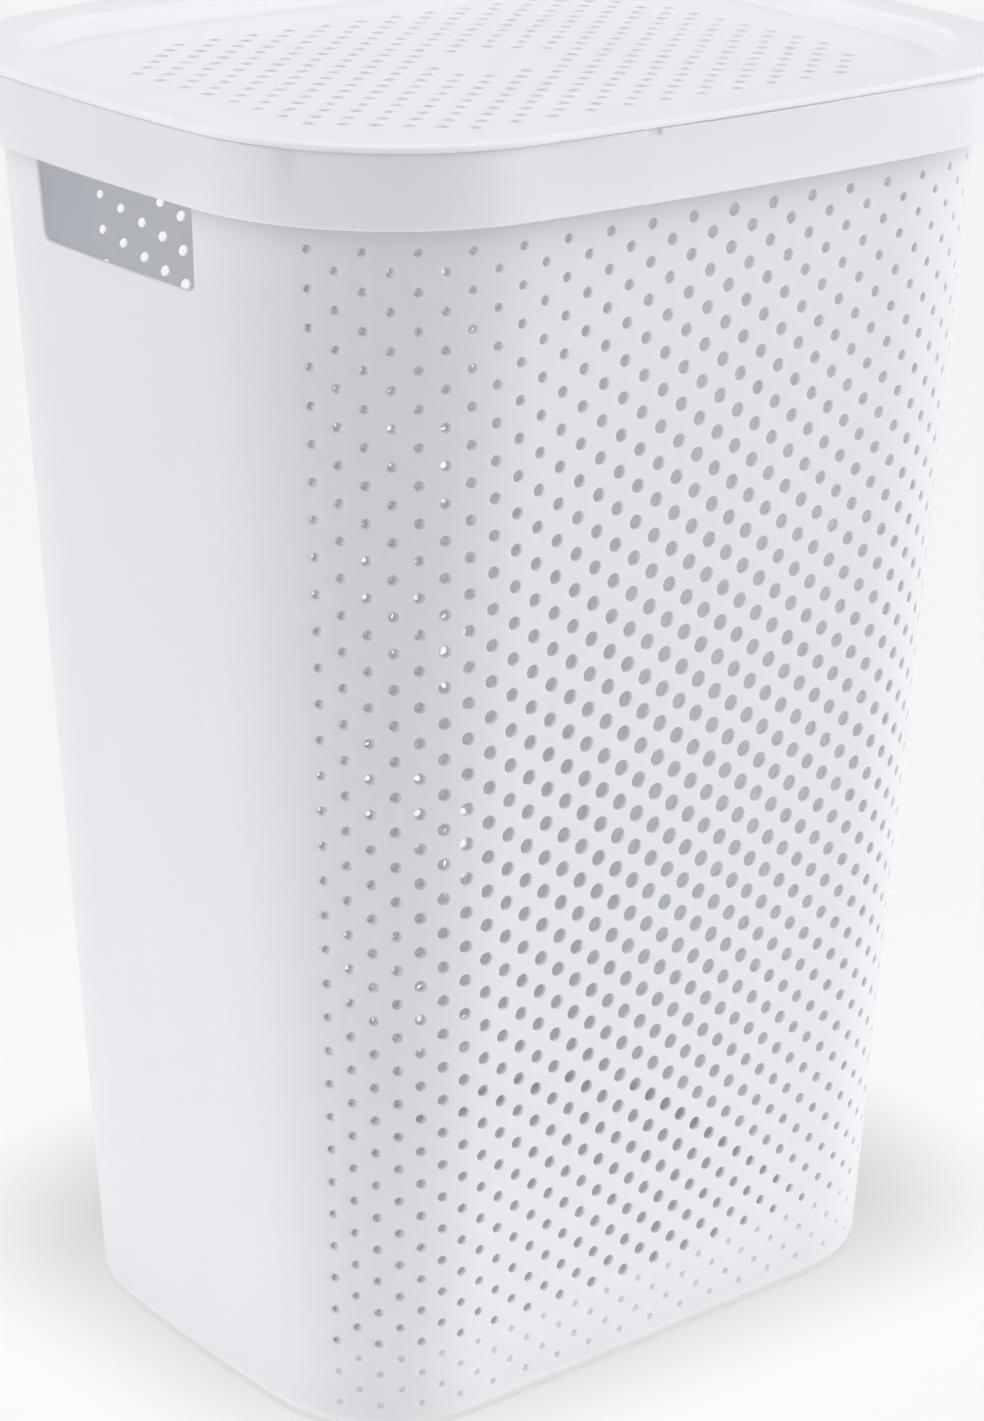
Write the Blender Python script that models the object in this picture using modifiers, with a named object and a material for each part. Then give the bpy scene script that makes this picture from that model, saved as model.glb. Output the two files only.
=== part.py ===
"""Laundry hamper with a hinged lid.

Five separate mouldings: a tapered basket body, the smooth rim collar snapped
over its top edge, the lid with its sunk centre panel, and two hinge pins.
Metres, +Z up, +X along the long side, -Y is the front, origin at the centre
of the footprint on the floor.
"""
import math

import bmesh
import bpy
from mathutils import Vector

# ---------------------------------------------------------------- dimensions
HEIGHT = 0.602            # floor to the top of the lid flange
WALL = 0.0020             # moulded wall of the basket
GAP = 0.0003              # clearance between touching pieces

# basket body, outside sizes at the floor and at the underside of the collar
BASE_W, BASE_D, BASE_R = 0.3448, 0.2506, 0.0635
SHOULDER_W, SHOULDER_D, SHOULDER_R = 0.4120, 0.3211, 0.1056
SHOULDER_Z = 0.5677
BODY_TOP = 0.5955
BODY_CURVE_LONG = 0.1     # curvature of the long faces in plan, 1/m
BODY_CURVE_SHORT = 0.7    # curvature of the narrow faces in plan, 1/m
BASE_FILLET = 0.0060
FOOT_RING = 0.0100        # width of the ring that stands on the floor
FLOOR_LIFT = 0.0030       # the floor panel is raised by this much

# handle cut-outs in the two narrow faces, right under the collar
HANDLE_HALF_TOP, HANDLE_HALF_BOTTOM = 0.0588, 0.0564
HANDLE_LOW, HANDLE_HIGH = 0.5277, 0.5800
HANDLE_CORNER = 0.0045

# rim collar
RIM_W, RIM_D, RIM_R = 0.4366, 0.3510, 0.1010
RIM_CURVE_LONG, RIM_CURVE_SHORT = 0.5, 0.9
SKIRT = 0.0024            # thickness of the collar's outer skirt
LEDGE_TOP, LEDGE_UNDER = 0.5985, 0.5960
LIP_LOW = 0.5830          # lower edge of the lip inside the basket
LIP = 0.0020

# lid
LID_W, LID_D, LID_R = 0.4376, 0.3520, 0.1015
LID_T = 0.0022
LID_LOW = LEDGE_TOP + GAP
RECESS_W, RECESS_D, RECESS_R = 0.3800, 0.3000, 0.0800
PANEL_W, PANEL_D, PANEL_R = 0.3720, 0.2920, 0.0760
PANEL_Z = 0.5925          # top face of the sunk panel

# hinge at the back, axis along X
HINGE_Y, HINGE_Z = 0.1775, 0.5925
HINGE_X = 0.0950          # centre of each knuckle from the middle
KNUCKLE_W, KNUCKLE_R, KNUCKLE_HEEL = 0.0220, 0.0052, 0.0059
EAR_W, EAR_R = 0.0040, 0.0055
PIN_R, PIN_HOLE_R = 0.0022, 0.0025
SIDE_PLAY = 0.0005

# finger lift at the front edge of the collar
LIFT_HALF, LIFT_H, LIFT_DEPTH = 0.0620, 0.0013, 0.0016
SLOT_W, SLOT_H, SLOT_DEPTH = 0.0090, 0.0032, 0.0017

LONG_STEPS, CORNER_STEPS, SHORT_STEPS = 3, 12, 3

# ---------------------------------------------------------------- clean start
for ob in list(bpy.data.objects):
    bpy.data.objects.remove(ob, do_unlink=True)

hamper = bpy.data.collections.new("laundry_hamper")
cutters = bpy.data.collections.new("cutters")
bpy.context.scene.collection.children.link(hamper)
bpy.context.scene.collection.children.link(cutters)


# ---------------------------------------------------------------- helpers
def mix(a, b, t):
    return a + (b - a) * t


def quadrant(half_w, half_d, radius, k_long, k_short):
    """Quarter outline from the front centre (0, -d) to the left centre (-w, 0):
    a shallow arc, a corner arc tangent to both, and a shallow arc."""
    r_long, r_short = 1.0 / k_long, 1.0 / k_short
    c_long = Vector((0.0, -half_d + r_long))
    c_short = Vector((-half_w + r_short, 0.0))
    d = c_short - c_long
    dist = d.length
    ra, rb = r_long - radius, r_short - radius
    along = (dist * dist + ra * ra - rb * rb) / (2 * dist)
    side = math.sqrt(max(ra * ra - along * along, 0.0))
    u = d / dist
    v = Vector((-u.y, u.x))
    options = [c_long + u * along + v * side, c_long + u * along - v * side]
    centre = min(options, key=lambda p: p.x + p.y)
    t_long = centre + (centre - c_long).normalized() * radius
    t_short = centre + (centre - c_short).normalized() * radius
    pts = []
    end = math.atan2(t_long.x - c_long.x, c_long.y - t_long.y)
    for i in range(LONG_STEPS):
        a = end * i / LONG_STEPS
        pts.append((c_long.x + r_long * math.sin(a), c_long.y - r_long * math.cos(a)))
    a0 = math.atan2(t_long.y - centre.y, t_long.x - centre.x) % (2 * math.pi)
    a1 = math.atan2(t_short.y - centre.y, t_short.x - centre.x) % (2 * math.pi)
    for i in range(CORNER_STEPS):
        a = mix(a0, a1, i / CORNER_STEPS)
        pts.append((centre.x + radius * math.cos(a), centre.y + radius * math.sin(a)))
    start = math.atan2(t_short.y - c_short.y, c_short.x - t_short.x)
    for i in range(SHORT_STEPS + 1):
        a = start * (1 - i / SHORT_STEPS)
        pts.append((c_short.x - r_short * math.cos(a), c_short.y + r_short * math.sin(a)))
    return pts


def outline(width, depth, radius, k_long, k_short):
    """Whole outline, counter-clockwise from the left centre, through the front."""
    q = quadrant(width / 2, depth / 2, radius, k_long, k_short)
    front = q[::-1] + [(-x, y) for x, y in q[1:]]
    back = [(x, -y) for x, y in front[::-1][1:-1]]
    return front + back


def body_ring(z, inset=0.0):
    t = z / SHOULDER_Z
    w = mix(BASE_W, SHOULDER_W, t) - 2 * inset
    d = mix(BASE_D, SHOULDER_D, t) - 2 * inset
    r = mix(BASE_R, SHOULDER_R, t) - inset
    return outline(w, d, r, BODY_CURVE_LONG, BODY_CURVE_SHORT)


def rim_ring(inset):
    return outline(RIM_W - 2 * inset, RIM_D - 2 * inset, RIM_R - inset,
                   RIM_CURVE_LONG, RIM_CURVE_SHORT)


def lid_ring(width, depth, radius):
    return outline(width, depth, radius, RIM_CURVE_LONG, RIM_CURVE_SHORT)


def loft(name, rings, closed=False, cap=False):
    """Skin over a list of (outline, z) rings of equal point count."""
    mesh = bpy.data.meshes.new(name)
    bm = bmesh.new()
    rows = [[bm.verts.new((x, y, z)) for x, y in ring] for ring, z in rings]
    pairs = list(zip(rows, rows[1:]))
    if closed:
        pairs.append((rows[-1], rows[0]))
    for low, high in pairs:
        n = len(low)
        for i in range(n):
            j = (i + 1) % n
            bm.faces.new((low[i], low[j], high[j], high[i]))
    if cap:
        bm.faces.new(list(reversed(rows[0])))
    bm.normal_update()
    bm.to_mesh(mesh)
    bm.free()
    ob = bpy.data.objects.new(name, mesh)
    hamper.objects.link(ob)
    return ob


def box(name, lo, hi):
    mesh = bpy.data.meshes.new(name)
    bm = bmesh.new()
    bmesh.ops.create_cube(bm, size=1.0)
    for v in bm.verts:
        for i in range(3):
            v.co[i] = lo[i] if v.co[i] < 0 else hi[i]
    bm.to_mesh(mesh)
    bm.free()
    return bpy.data.objects.new(name, mesh)


def rod(name, radius, x0, x1, y, z, segments):
    mesh = bpy.data.meshes.new(name)
    bm = bmesh.new()
    bmesh.ops.create_cone(bm, cap_ends=True, segments=segments,
                          radius1=radius, radius2=radius, depth=x1 - x0)
    turn = math.pi / segments
    for v in bm.verts:
        a, b, c = v.co
        p = Vector((a * math.cos(turn) - b * math.sin(turn),
                    a * math.sin(turn) + b * math.cos(turn)))
        v.co = ((x0 + x1) / 2 + c, p.x + y, p.y + z)
    bmesh.ops.recalc_face_normals(bm, faces=bm.faces)
    bm.to_mesh(mesh)
    bm.free()
    return bpy.data.objects.new(name, mesh)


def as_cutter(ob):
    cutters.objects.link(ob)
    ob.hide_render = True
    ob.display_type = "WIRE"
    return ob


def boolean(ob, other, operation):
    mod = ob.modifiers.new(other.name, "BOOLEAN")
    mod.operation = operation
    mod.solver = "EXACT"
    mod.object = other


def material(ob, name, colour, roughness):
    mat = bpy.data.materials.new(name)
    mat.use_nodes = True
    bsdf = mat.node_tree.nodes["Principled BSDF"]
    bsdf.inputs["Base Color"].default_value = (*colour, 1.0)
    bsdf.inputs["Roughness"].default_value = roughness
    bsdf.inputs["Metallic"].default_value = 0.0
    ob.data.materials.append(mat)


def smooth(ob, degrees=35):
    ob.data.shade_smooth()
    ob.data.set_sharp_from_angle(angle=math.radians(degrees))


WHITE = (0.86, 0.87, 0.90)

# ---------------------------------------------------------------- basket body
rings = []
inner = BASE_FILLET + FOOT_RING
rings.append((body_ring(0.0, inner + 0.0030), FLOOR_LIFT))
rings.append((body_ring(0.0, inner), 0.0))
for i in range(4):
    a = math.radians(30 * i)
    z = BASE_FILLET * (1 - math.cos(a))
    rings.append((body_ring(z, BASE_FILLET * (1 - math.sin(a))), z))
for z in (0.15, 0.30, 0.45, BODY_TOP):
    rings.append((body_ring(z), z))
body = loft("basket_body", rings, cap=True)
shell = body.modifiers.new("wall", "SOLIDIFY")
shell.thickness = WALL
shell.offset = -1.0
shell.use_even_offset = True
shell.use_rim = True

for side, tag in ((-1, "left"), (1, "right")):
    mesh = bpy.data.meshes.new("handle_" + tag)
    bm = bmesh.new()
    bmesh.ops.create_cube(bm, size=1.0)
    for v in bm.verts:
        top = v.co.z > 0
        v.co = (side * (0.170 if v.co.x * side < 0 else 0.240),
                math.copysign(HANDLE_HALF_TOP if top else HANDLE_HALF_BOTTOM, v.co.y),
                HANDLE_HIGH if top else HANDLE_LOW)
    bmesh.ops.recalc_face_normals(bm, faces=bm.faces)
    along = [e for e in bm.edges
             if abs(e.verts[0].co.x - e.verts[1].co.x) > 0.05]
    bmesh.ops.bevel(bm, geom=along, offset=HANDLE_CORNER, segments=3,
                    profile=0.5, affect="EDGES")
    bm.to_mesh(mesh)
    bm.free()
    cut = as_cutter(bpy.data.objects.new("cut_handle_" + tag, mesh))
    boolean(body, cut, "DIFFERENCE")
material(body, "basket_white", WHITE, 0.42)
smooth(body)

# ---------------------------------------------------------------- rim collar
OUT = 0.0                                        # outer face of the skirt
lip_out = WALL + GAP
lip_in = lip_out + LIP
profile = [
    (rim_ring(OUT + 0.0010), SHOULDER_Z),
    (rim_ring(OUT + 0.0003), SHOULDER_Z + 0.0004),
    (rim_ring(OUT), SHOULDER_Z + 0.0012),
    (rim_ring(OUT), LEDGE_TOP - 0.0012),
    (rim_ring(OUT + 0.0004), LEDGE_TOP - 0.0004),
    (rim_ring(OUT + 0.0012), LEDGE_TOP),
    (body_ring(LEDGE_TOP, lip_in), LEDGE_TOP),
    (body_ring(LIP_LOW, lip_in), LIP_LOW),
    (body_ring(LIP_LOW, lip_out), LIP_LOW),
    (body_ring(LEDGE_UNDER, lip_out), LEDGE_UNDER),
    (rim_ring(OUT + SKIRT), LEDGE_UNDER),
    (rim_ring(OUT + SKIRT), SHOULDER_Z + 0.0010),
    (rim_ring(OUT + SKIRT - 0.0006), SHOULDER_Z),
]
collar = loft("rim_collar", profile, closed=True)

band_back = RIM_D / 2
for side, tag in ((-1, "left"), (1, "right")):
    cx = side * HINGE_X
    half = KNUCKLE_W / 2 + SIDE_PLAY
    for end in (-1, 1):
        x_in = cx + end * half
        x_out = cx + end * (half + EAR_W)
        x0, x1 = min(x_in, x_out), max(x_in, x_out)
        name = "ear_%s_%s" % (tag, "outer" if end == side else "inner")
        ear = as_cutter(rod(name, EAR_R, x0, x1, HINGE_Y, HINGE_Z, 20))
        boolean(collar, ear, "UNION")
        web = as_cutter(box(name + "_web", (x0, band_back - 0.0020, HINGE_Z - EAR_R + 0.0002),
                            (x1, HINGE_Y, HINGE_Z + EAR_R - 0.0002)))
        boolean(collar, web, "UNION")
    pocket = as_cutter(box("pocket_" + tag, (cx - half, HINGE_Y - KNUCKLE_R - 0.0006,
                                              HINGE_Z - 0.0056),
                           (cx + half, HINGE_Y + 0.0100, HEIGHT)))
    boolean(collar, pocket, "DIFFERENCE")
    reach = half + EAR_W + 0.002
    bore = as_cutter(rod("pin_bore_" + tag, PIN_HOLE_R, cx - reach, cx + reach,
                         HINGE_Y, HINGE_Z, 20))
    boolean(collar, bore, "DIFFERENCE")

lift = as_cutter(box("finger_lift", (-LIFT_HALF, -RIM_D / 2 - 0.005, LEDGE_TOP - LIFT_H),
                     (LIFT_HALF, -RIM_D / 2 + LIFT_DEPTH, LEDGE_TOP + 0.002)))
boolean(collar, lift, "DIFFERENCE")
slot = as_cutter(box("finger_slot", (-LIFT_HALF - 0.0005, -RIM_D / 2 - 0.005, LEDGE_TOP - SLOT_H),
                     (-LIFT_HALF + SLOT_W, -RIM_D / 2 + SLOT_DEPTH, LEDGE_TOP + 0.001)))
boolean(collar, slot, "DIFFERENCE")
material(collar, "collar_white", WHITE, 0.38)
smooth(collar)

# ---------------------------------------------------------------- lid
ROUND = 0.0020
lid_rings = [
    (lid_ring(PANEL_W - 0.0040, PANEL_D - 0.0040, PANEL_R - 0.0020), PANEL_Z),
    (lid_ring(PANEL_W, PANEL_D, PANEL_R), PANEL_Z + 0.0016),
    (lid_ring(RECESS_W - 0.0010, RECESS_D - 0.0010, RECESS_R - 0.0005), HEIGHT - 0.0020),
    (lid_ring(RECESS_W + 0.0010, RECESS_D + 0.0010, RECESS_R + 0.0005), HEIGHT - 0.0004),
    (lid_ring(RECESS_W + 0.0040, RECESS_D + 0.0040, RECESS_R + 0.0020), HEIGHT),
    (lid_ring(LID_W - 2 * ROUND, LID_D - 2 * ROUND, LID_R - ROUND), HEIGHT),
    (lid_ring(LID_W - 0.6 * ROUND, LID_D - 0.6 * ROUND, LID_R - 0.3 * ROUND), HEIGHT - 0.3 * ROUND),
    (lid_ring(LID_W, LID_D, LID_R), HEIGHT - ROUND),
    (lid_ring(LID_W, LID_D, LID_R), LID_LOW),
    (lid_ring(RECESS_W + 0.0032, RECESS_D + 0.0032, RECESS_R + 0.0016), LID_LOW),
    (lid_ring(PANEL_W + 0.0048, PANEL_D + 0.0048, PANEL_R + 0.0024), PANEL_Z + 0.0011),
    (lid_ring(PANEL_W, PANEL_D, PANEL_R), PANEL_Z - 0.0018),
    (lid_ring(PANEL_W - 0.0040, PANEL_D - 0.0040, PANEL_R - 0.0020), PANEL_Z - LID_T),
]


def lid_shell():
    """Top and underside skins meet at the outer edge; both centres are capped."""
    mesh = bpy.data.meshes.new("lid")
    bm = bmesh.new()
    rows = [[bm.verts.new((x, y, z)) for x, y in ring] for ring, z in lid_rings]
    for low, high in zip(rows, rows[1:]):
        n = len(low)
        for i in range(n):
            j = (i + 1) % n
            bm.faces.new((low[j], low[i], high[i], high[j]))
    bm.faces.new(rows[0])
    bm.faces.new(list(reversed(rows[-1])))
    bmesh.ops.recalc_face_normals(bm, faces=bm.faces)
    bm.to_mesh(mesh)
    bm.free()
    ob = bpy.data.objects.new("lid", mesh)
    hamper.objects.link(ob)
    return ob


hinge_left = bpy.data.objects.new("hinge_axis", None)
hinge_left.location = (0.0, HINGE_Y, HINGE_Z)
hamper.objects.link(hinge_left)

lid = lid_shell()
for side, tag in ((-1, "left"), (1, "right")):
    cx = side * HINGE_X
    x0, x1 = cx - KNUCKLE_W / 2, cx + KNUCKLE_W / 2
    tongue = as_cutter(box("tongue_" + tag, (x0, HINGE_Y - KNUCKLE_R, HINGE_Z - 0.0004),
                           (x1, HINGE_Y + KNUCKLE_HEEL, HEIGHT - 0.0012)))
    boolean(lid, tongue, "UNION")
    knuckle = as_cutter(rod("knuckle_" + tag, KNUCKLE_R, x0, x1, HINGE_Y, HINGE_Z, 20))
    boolean(lid, knuckle, "UNION")
    eye = as_cutter(rod("eye_" + tag, PIN_HOLE_R, x0 - 0.002, x1 + 0.002, HINGE_Y, HINGE_Z, 20))
    boolean(lid, eye, "DIFFERENCE")
material(lid, "lid_white", WHITE, 0.40)
smooth(lid)
lid.parent = hinge_left
lid.matrix_parent_inverse = hinge_left.matrix_world.inverted()
bpy.context.view_layer.update()
lid.matrix_parent_inverse = hinge_left.matrix_world.inverted()

# ---------------------------------------------------------------- hinge pins
for side, tag in ((-1, "left"), (1, "right")):
    cx = side * HINGE_X
    reach = KNUCKLE_W / 2 + SIDE_PLAY + EAR_W + 0.0002
    pin = rod("hinge_pin_" + tag, PIN_R, cx - reach, cx + reach, HINGE_Y, HINGE_Z, 16)
    hamper.objects.link(pin)
    material(pin, "pin_white_" + tag, WHITE, 0.35)
    smooth(pin, 50)
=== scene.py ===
import math

import bmesh
import bpy
import numpy as np
from mathutils import Matrix, Vector
from mathutils.geometry import delaunay_2d_cdt


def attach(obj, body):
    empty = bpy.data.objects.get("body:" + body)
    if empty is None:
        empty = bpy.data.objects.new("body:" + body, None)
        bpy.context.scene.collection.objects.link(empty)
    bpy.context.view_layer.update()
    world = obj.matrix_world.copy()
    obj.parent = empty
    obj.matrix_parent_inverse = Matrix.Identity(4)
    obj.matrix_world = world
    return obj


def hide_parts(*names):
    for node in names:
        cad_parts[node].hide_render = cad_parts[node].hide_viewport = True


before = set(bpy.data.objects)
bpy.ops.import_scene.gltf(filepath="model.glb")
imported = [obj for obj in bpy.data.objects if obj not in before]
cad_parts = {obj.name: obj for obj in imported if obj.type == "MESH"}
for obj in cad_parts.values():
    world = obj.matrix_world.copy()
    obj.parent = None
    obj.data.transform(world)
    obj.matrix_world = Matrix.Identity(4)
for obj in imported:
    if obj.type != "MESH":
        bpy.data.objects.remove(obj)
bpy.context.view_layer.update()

MM = 0.001

# ------------------------------------------------------------------ sizes, as in the CAD
BASE_W, BASE_D, BASE_R = 344.8 * MM, 250.6 * MM, 63.5 * MM
SHO_W, SHO_D, SHO_R = 412.0 * MM, 321.1 * MM, 105.6 * MM
SHO_Z, BODY_TOP = 567.7 * MM, 595.5 * MM
K_LONG, K_SHORT = 0.1, 0.7
WALL, FILLET, FOOT, LIFT = 2.0 * MM, 6.0 * MM, 10.0 * MM, 3.0 * MM
RIM_W, RIM_D, RIM_R = 436.6 * MM, 351.0 * MM, 101.0 * MM
RK_LONG, RK_SHORT = 0.5, 0.9
LEDGE_TOP, LEDGE_UNDER, LIP_LOW = 598.5 * MM, 596.0 * MM, 583.0 * MM
TOP = 602.0 * MM
LID_W, LID_D, LID_R = 437.6 * MM, 352.0 * MM, 101.5 * MM
REC_W, REC_D, REC_R = 380.0 * MM, 300.0 * MM, 80.0 * MM
PAN_W, PAN_D, PAN_R = 372.0 * MM, 292.0 * MM, 76.0 * MM
PAN_Z, LID_T = 592.5 * MM, 2.2 * MM
HY, HZ, HX = 177.5 * MM, 592.5 * MM, 95.0 * MM
H_TOP, H_BOT, H_LOW, H_HIGH, H_R = 58.8 * MM, 56.4 * MM, 527.7 * MM, 580.0 * MM, 4.5 * MM

# hole lattice of the basket: column pitch follows the taper
Z0, HALF_ROW = 325.0 * MM, 8.21 * MM
PITCH_LOW, PITCH_HIGH = 9.42 * MM, 11.26 * MM
COLS = 18
DRAFT = 0.12 * MM                # the holes narrow a little towards the inside
BACK_DROP = 5.2 * MM             # how much lower the rows of the back face are
BACK_COLS = 10                   # the back's corners are closed: its outer columns are only dimples


# ------------------------------------------------------------------ outlines
def arcs(a, b, r, kl, ks):
    """Quarter outline made of a shallow arc, a corner arc and a shallow arc, for arrays of sizes."""
    a, b, r = np.broadcast_arrays(np.asarray(a, float), b, r)
    rl, rs = 1 / kl, 1 / ks
    cly, csx = -b + rl, -a + rs
    dx, dy = csx, -cly
    L = np.hypot(dx, dy)
    r1, r2 = rl - r, rs - r
    al = (L * L + r1 * r1 - r2 * r2) / (2 * L)
    h = np.sqrt(np.maximum(r1 * r1 - al * al, 0))
    ux, uy = dx / L, dy / L
    x1, y1 = ux * al - uy * h, cly + uy * al + ux * h
    x2, y2 = ux * al + uy * h, cly + uy * al - ux * h
    pick = (x1 + y1) < (x2 + y2)
    cx, cy = np.where(pick, x1, x2), np.where(pick, y1, y2)
    nl = np.stack([cx, cy - cly], -1)
    nl /= np.linalg.norm(nl, axis=-1, keepdims=True)
    ns = np.stack([cx - csx, cy], -1)
    ns /= np.linalg.norm(ns, axis=-1, keepdims=True)
    tl = np.arctan2(-nl[..., 0], -nl[..., 1])
    ts = np.arctan2(-ns[..., 1], -ns[..., 0])
    tc = math.pi / 2 - tl - ts
    return dict(rl=rl, rs=rs, cly=cly, csx=csx, cx=cx, cy=cy, r=r, tl=tl, ts=ts, tc=tc,
                l1=rl * tl, l2=rl * tl + r * tc, l3=rl * tl + r * tc + rs * ts)


def at(g, s):
    """Point and outward normal at arc length s from the front centre towards the left centre."""
    s = np.asarray(s, float)
    t1 = s / g["rl"]
    t2 = g["tl"] + (s - g["l1"]) / g["r"]
    t3 = math.pi / 2 - g["ts"] + (s - g["l2"]) / g["rs"]
    t = np.where(s < g["l1"], t1, np.where(s < g["l2"], t2, t3))
    nx, ny = -np.sin(t), -np.cos(t)
    x = np.where(s < g["l1"], g["rl"] * nx, np.where(s < g["l2"], g["cx"] + g["r"] * nx, g["csx"] + g["rs"] * nx))
    y = np.where(s < g["l1"], g["cly"] + g["rl"] * ny, np.where(s < g["l2"], g["cy"] + g["r"] * ny, g["rs"] * ny))
    return x, y, nx, ny


def body_arcs(z, inset=0.0):
    t = np.asarray(z, float) / SHO_Z
    return arcs((BASE_W + (SHO_W - BASE_W) * t) / 2 - inset, (BASE_D + (SHO_D - BASE_D) * t) / 2 - inset,
                BASE_R + (SHO_R - BASE_R) * t - inset, K_LONG, K_SHORT)


def pitch(z):
    return PITCH_LOW + (PITCH_HIGH - PITCH_LOW) * np.asarray(z, float) / SHO_Z


def wall_point(s, z, sx, sy):
    """Point on the outside of the basket wall and its 3-D normal. sx, sy are the signs of x and y."""
    s, z, sx, sy = np.broadcast_arrays(np.asarray(s, float), z, sx, sy)
    g = body_arcs(z)
    x, y, nx, ny = at(g, s)
    dz = 1 * MM
    g2 = body_arcs(z + dz)
    x2, y2, _, _ = at(g2, s * g2["l3"] / g["l3"])
    grow = ((x2 - x) * nx + (y2 - y) * ny) / dz
    n = np.stack([nx * -sx, ny * -sy, -grow], -1)
    n /= np.linalg.norm(n, axis=-1, keepdims=True)
    return np.stack([x * -sx, y * -sy, z], -1), n


# ------------------------------------------------------------------ mesh collector
class Skin:
    """Collects vertices and faces with a normal for every face corner."""

    def __init__(self):
        self.v, self.n_v, self.f, self.nf = [], 0, [], []

    def verts(self, p):
        p = np.asarray(p, float).reshape(-1, 3)
        self.v.append(p)
        self.n_v += len(p)
        return np.arange(self.n_v - len(p), self.n_v)

    def faces(self, idx, nor):
        """idx: m x k vertex numbers. nor: m x k x 3 normals. Faces are turned to agree with the normals."""
        idx = np.asarray(idx)
        if len(idx) == 0:
            return
        self.f.append(idx)
        self.nf.append(np.broadcast_to(np.asarray(nor, float), idx.shape + (3,)))

    def build(self, name, smooth=True):
        P = np.concatenate(self.v)
        polys, normals = [], []
        for idx, nor in zip(self.f, self.nf):
            k = idx.shape[1]
            a = P[idx[:, 0]]
            gn = np.zeros((len(idx), 3))
            for i in range(1, k - 1):
                gn += np.cross(P[idx[:, i]] - a, P[idx[:, i + 1]] - a)
            flip = (gn * nor.mean(1)).sum(1) < 0
            idx, nor = idx.copy(), nor.copy()
            idx[flip] = idx[flip][:, ::-1]
            nor[flip] = nor[flip][:, ::-1]
            polys += idx.tolist()
            normals.append(nor.reshape(-1, 3))
        me = bpy.data.meshes.new(name)
        me.from_pydata(P.tolist(), [], polys)
        me.shade_smooth()
        N = np.concatenate(normals)
        N /= np.maximum(np.linalg.norm(N, axis=1, keepdims=True), 1e-9)
        me.normals_split_custom_set(N.tolist())
        me.update()
        ob = bpy.data.objects.new(name, me)
        bpy.context.scene.collection.objects.link(ob)
        return ob


def unit(v):
    return v / np.maximum(np.linalg.norm(v, axis=-1, keepdims=True), 1e-12)


def fan(corners, ring, cn, rn, skin):
    """Joins four cell corners (east, north, west, south) to a ring of vertices round a hole.
    corners: m x 4, ring: m x n, cn: m x 4 x 3 normals, rn: m x n x 3."""
    n = ring.shape[1]
    marks = [int(round(n * (q + 0.5) / 4 - 0.5)) % n for q in range(4)]     # ring vertex nearest each diagonal
    tri, nor = [], []
    for q in range(4):
        i, j = marks[q - 1], marks[q]
        k = i
        while k != j:
            k2 = (k + 1) % n
            tri.append(np.stack([corners[:, q], ring[:, k], ring[:, k2]], 1))
            nor.append(np.stack([cn[:, q], rn[:, k], rn[:, k2]], 1))
            k = k2
        q2 = (q + 1) % 4
        tri.append(np.stack([corners[:, q], ring[:, j], corners[:, q2]], 1))
        nor.append(np.stack([cn[:, q], rn[:, j], cn[:, q2]], 1))
    skin.faces(np.concatenate(tri), np.concatenate(nor))


def band(a, b, na, nb, skin, closed=True):
    """Quads between two rows of rings. a, b: m x n. na, nb: m x n x 3."""
    n = a.shape[1]
    last = n if closed else n - 1
    for k in range(last):
        k2 = (k + 1) % n
        skin.faces(np.stack([a[:, k], a[:, k2], b[:, k2], b[:, k]], 1),
                   np.stack([na[:, k], na[:, k2], nb[:, k2], nb[:, k]], 1))


# ------------------------------------------------------------------ basket
def row_z(r, sy=-1):
    """Height of a lattice row. The back's rows sit a little lower, with the last two squeezed above the foot."""
    r = np.asarray(r, float)
    z = Z0 - r * HALF_ROW
    if sy > 0:
        z = np.interp(r, [-30, 36, 37, 38], [Z0 + 30 * HALF_ROW - BACK_DROP, Z0 - 36 * HALF_ROW - BACK_DROP,
                                             16.0 * MM, 11.6 * MM])
    return np.where(r >= 39.5, FILLET, np.where(r >= 38.5, 8.6 * MM, z))


def hole_d(c, r):
    """Hole diameter over the face: largest below the middle, smaller towards the edges."""
    c, r = np.abs(np.asarray(c, float)), np.asarray(r, float)
    t = np.abs(r - 5) / 30
    w = np.minimum(t ** 1.5, 1.0)
    mid = 7.9 - 1.75 * t ** 1.5
    near = 0.011 * np.minimum(c, 12) ** 2 + 0.32 * np.maximum(c - 11.5, 0)
    far = 0.2 * np.minimum(c, 11)
    return np.maximum(mid - near * (1 - w) - far * w, 3.7) * MM


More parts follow.
